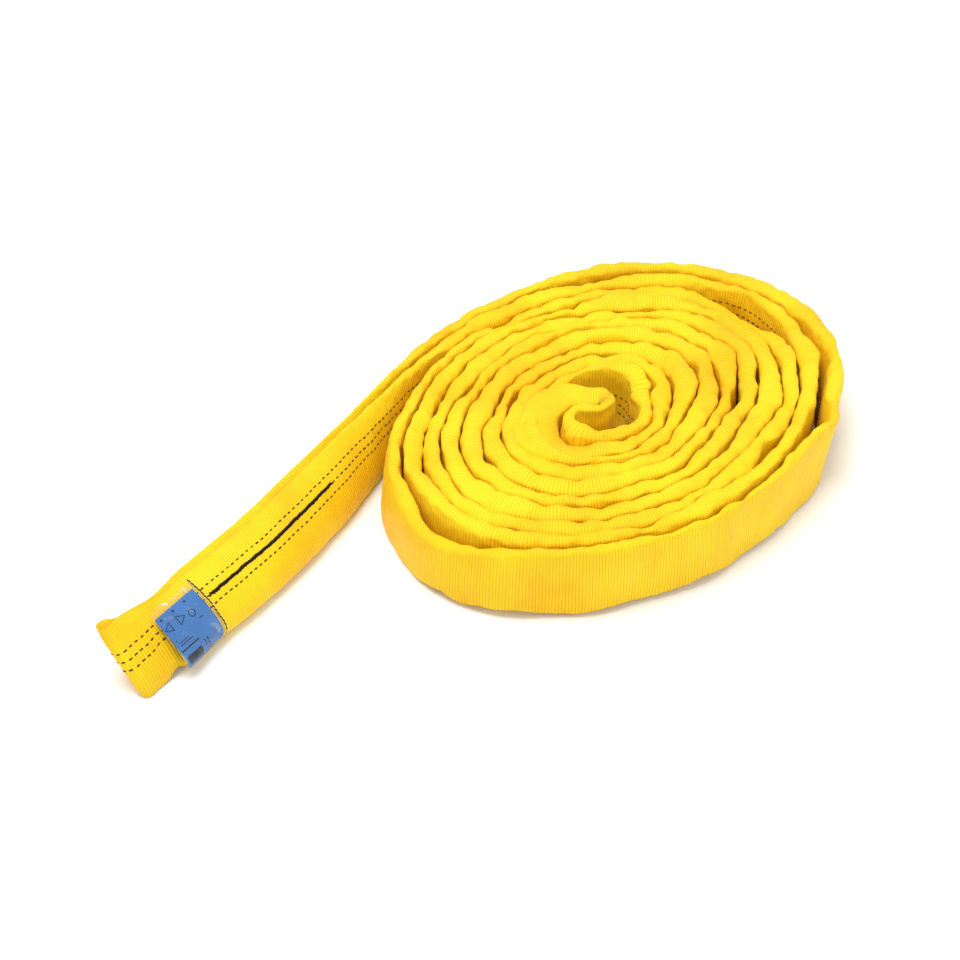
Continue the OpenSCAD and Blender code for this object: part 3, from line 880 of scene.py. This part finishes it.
def film_material():
    mat, tree, bsdf = new_material("clear_film")
    bsdf.inputs["Base Color"].default_value = (0.62, 0.70, 0.78, 1)
    bsdf.inputs["Specular IOR Level"].default_value = 0.8
    bsdf.inputs["Coat Weight"].default_value = 0.6
    bsdf.inputs["Coat Roughness"].default_value = 0.04
    coord = object_coordinates(tree)
    haze = math_node(tree, "MULTIPLY", noise_node(tree, coord, 90.0, 3.0), 0.12)
    tree.links.new(math_node(tree, "ADD", haze, 0.03), bsdf.inputs["Roughness"])
    facing = node(tree, "ShaderNodeLayerWeight")
    facing.inputs["Blend"].default_value = 0.35
    # painted highlights: noise streaks make the film less clear, so it shows pale streaks that stand in for
    # glints on its creases
    stretch = node(tree, "ShaderNodeMapping")
    stretch.inputs["Rotation"].default_value = (0, 0, 0.7)
    stretch.inputs["Scale"].default_value = (55, 170, 90)
    tree.links.new(coord, stretch.inputs[0])
    painted_glint_streak = noise_node(tree, stretch.outputs[0], 1.0, 2.0)
    glint = node(tree, "ShaderNodeMapRange")
    for i, v in ((1, 0.6), (2, 0.74), (3, 0.0), (4, 0.14)):
        glint.inputs[i].default_value = v
    tree.links.new(painted_glint_streak, glint.inputs[0])
    alpha = math_node(tree, "ADD", math_node(tree, "MULTIPLY", facing.outputs["Facing"], 0.06), 0.01)
    # the painted glint streaks add to the film's opacity
    alpha = math_node(tree, "ADD", alpha, glint.outputs[0], clamp=True)
    tree.links.new(alpha, bsdf.inputs["Alpha"])
    bump_node(tree, bsdf, noise_node(tree, coord, 140.0, 2.0), 0.5, 0.0006)
    return mat


label_mat, film_mat = label_material(), film_material()
print_mat = yarn_material("label_print", (0.012, 0.016, 0.03, 1), (0.03, 0.035, 0.055, 1),
                          rough=0.4, scale=200.0, sheen=0.0)
label = sheet_piece("label_card", 1.2 - WALLET_L, -1.8, 0.9 - WALLET_W / 2, WALLET_W / 2 - 5, 40, 44,
                    0.3, 0.3, label_mat, corner=1.0)
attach(label, "label_flap"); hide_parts("label")


def wrinkle(x, y):
    """Puckers of the front film beside its stitches, and the raised line of its sealed edge."""
    by_seam = np.exp(x / 7.0) * (0.55 + 0.5 * wave(21, y + 0.35 * x, 7.5) + 0.3 * wave(22, y - 0.5 * x, 13))
    far = 0.28 * wave(23, y * 0.8 + x, 17) * smooth(-x, 2, 14)
    edge = np.minimum(np.minimum(x + WALLET_L, WALLET_W / 2 - np.abs(y)), 6)
    seal = 0.3 * np.exp(-((edge - 1.0) / 0.5) ** 2) + 0.22 * np.exp(-((edge - 2.3) / 0.45) ** 2)
    lift = smooth(edge, 0.3, 3.2) * 0.55
    return np.maximum(by_seam + far * smooth(edge, 1, 5), -0.05) + seal + lift


back_film = sheet_piece("wallet_back", -WALLET_L, 0, -WALLET_W / 2, WALLET_W / 2, 30, 32,
                        0.0, 0.22, film_mat, corner=3.5)
front_film = sheet_piece("wallet_front", -WALLET_L, 0, -WALLET_W / 2, WALLET_W / 2, 88, 96,
                         lambda x, y: 0.3 + wrinkle(x, y), 0.2, film_mat, corner=3.5)
for ob, name in ((back_film, "wallet_back_film"), (front_film, "wallet_front_film")):
    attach(ob, "label_flap"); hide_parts(name)

# print on the label: plain marks only
marks_v, marks_f = [], []
PRINT_Z = 0.70                                           # the marks' height over the label's underside
PRINT_LINE = 0.8


def mark(poly_x, poly_y):
    """A flat printed strip between two rows of points: [outer, inner] arrays of x and y."""
    base = len(marks_v)
    for xs, ys in zip(poly_x, poly_y):
        z = label_z(np.asarray(xs, float), np.asarray(ys, float)) + PRINT_Z
        marks_v.extend(place(xs, ys, z))
    n = len(poly_x[0])
    for k in range(n - 1):
        marks_f.append((base + k, base + k + 1, base + n + k + 1, base + n + k))


def at_share(a, b):
    """From shares of the wallet, away from the seam and down it, to the label's own x and y."""
    return -WALLET_L * np.asarray(a, float), WALLET_W * (0.5 - np.asarray(b, float))


def bar(a0, b0, a1, b1, width):
    (xa, ya), (xb, yb) = at_share(a0, b0), at_share(a1, b1)
    d = np.array([xb - xa, yb - ya])
    d = d / np.linalg.norm(d)
    n = np.array([-d[1], d[0]]) * width / 2
    f = np.linspace(0, 1, 8)
    xs, ys = xa + (xb - xa) * f, ya + (yb - ya) * f
    strips = max(1, int(width / PRINT_LINE))
    for r in range(strips):
        g0, g1 = 1 - 2 * r / strips, 1 - 2 * (r + 1) / strips
        mark([xs + n[0] * g0, xs + n[0] * g1], [ys + n[1] * g0, ys + n[1] * g1])


def outline(a, b, size, px, py, line):
    """A closed outline, from its points on the unit circle or within it."""
    x, y = at_share(a, b)
    k = 1 - line / size
    mark([x + px * size, x + px * size * k], [y + py * size, y + py * size * k])


def triangle(a, b, size, turn):
    corner = np.radians(turn + np.arange(4) * 120)
    f = np.linspace(0, 3, 16)
    outline(a, b, size, np.interp(f, np.arange(4), np.cos(corner)), np.interp(f, np.arange(4), np.sin(corner)),
            PRINT_LINE * 1.6)


triangle(0.86, 0.33, 4.6, 180)
triangle(0.60, 0.33, 4.9, 0)
round_it = np.radians(np.linspace(0, 360, 21))
outline(0.36, 0.37, 3.0, np.cos(round_it), np.sin(round_it), PRINT_LINE)
bar(0.31, 0.50, 0.24, 0.50, 0.8)
bar(0.95, 0.72, 0.55, 0.72, 1.2)
bar(0.90, 0.64, 0.62, 0.64, 0.7)
bar(0.88, 0.60, 0.66, 0.60, 0.5)
bar(0.93, 0.545, 0.90, 0.545, 1.0)
for a in (0.30, 0.58, 0.86):
    bar(a, 0.17, a + 0.045, 0.17, 1.6)
for b0, b1 in ((0.78, 0.83), (0.85, 0.88), (0.90, 0.95)):
    bar(0.40, b0, 0.40, b1, 1.1)
    bar(0.47, b0, 0.47, b1, 0.8)
bar(0.93, 0.885, 0.58, 0.885, 6.0)
marks = mesh_object("label_marks", marks_v, marks_f, print_mat, smooth_faces=False)
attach(marks, "label_flap")

# the hem of the wallet and its stitches stay on the sleeve
HEM_X, HEM_Y, STITCH = 6, 60, 3.1
threads = Threads()
at_y = -WALLET_W / 2 + 0.5
while at_y < WALLET_W / 2 - 0.5:
    y = at_y + np.array([0, 0.9, 2.0, 2.9])
    x = 1.6 + 0.5 * wave(41, y, 9) + np.array([0.35, 0.1, -0.1, -0.35])
    z = np.maximum(face_at(x, y), ground(x, y)) + 0.75
    threads.add(place(x, y, z), np.tile(lz, (4, 1)), 0.8, 0.75)
    at_y += STITCH
thread_mat = yarn_material("label_thread", (0.004, 0.03, 0.028, 1), (0.01, 0.06, 0.055, 1), rough=0.5)
stitches = threads.build("label_stitches", thread_mat)
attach(stitches, "sling"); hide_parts("label_seam")
hx, hy = np.meshgrid(np.linspace(0.05, 3.4, HEM_X), np.linspace(-WALLET_W / 2, WALLET_W / 2, HEM_Y),
                     indexing="ij")
hz = np.maximum(face_at(hx, hy), ground(hx, hy))
hem_v = np.concatenate([place(hx, hy, hz + 0.25 + 0.25 * wave(43, hy, 6) * 0.5).reshape(-1, 3),
                        place(hx, hy, hz + 0.75 + 0.3 * wave(43, hy, 6)).reshape(-1, 3)])
hem = mesh_object("wallet_hem", hem_v, thin_faces(HEM_X, HEM_Y), film_mat)
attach(hem, "sling")

# ---------------------------------------------------------------- floor
floor_mat, tree, bsdf = new_material("floor")
bsdf.inputs["Base Color"].default_value = (0.93, 0.93, 0.93, 1)
bsdf.inputs["Roughness"].default_value = 0.8
FAR, DOWN = 6000, -0.2
corners = [(-FAR, -FAR, DOWN), (FAR, -FAR, DOWN), (FAR, FAR, DOWN), (-FAR, FAR, DOWN)]
floor = mesh_object("floor", corners, [(0, 1, 2, 3)], floor_mat, smooth_faces=False)
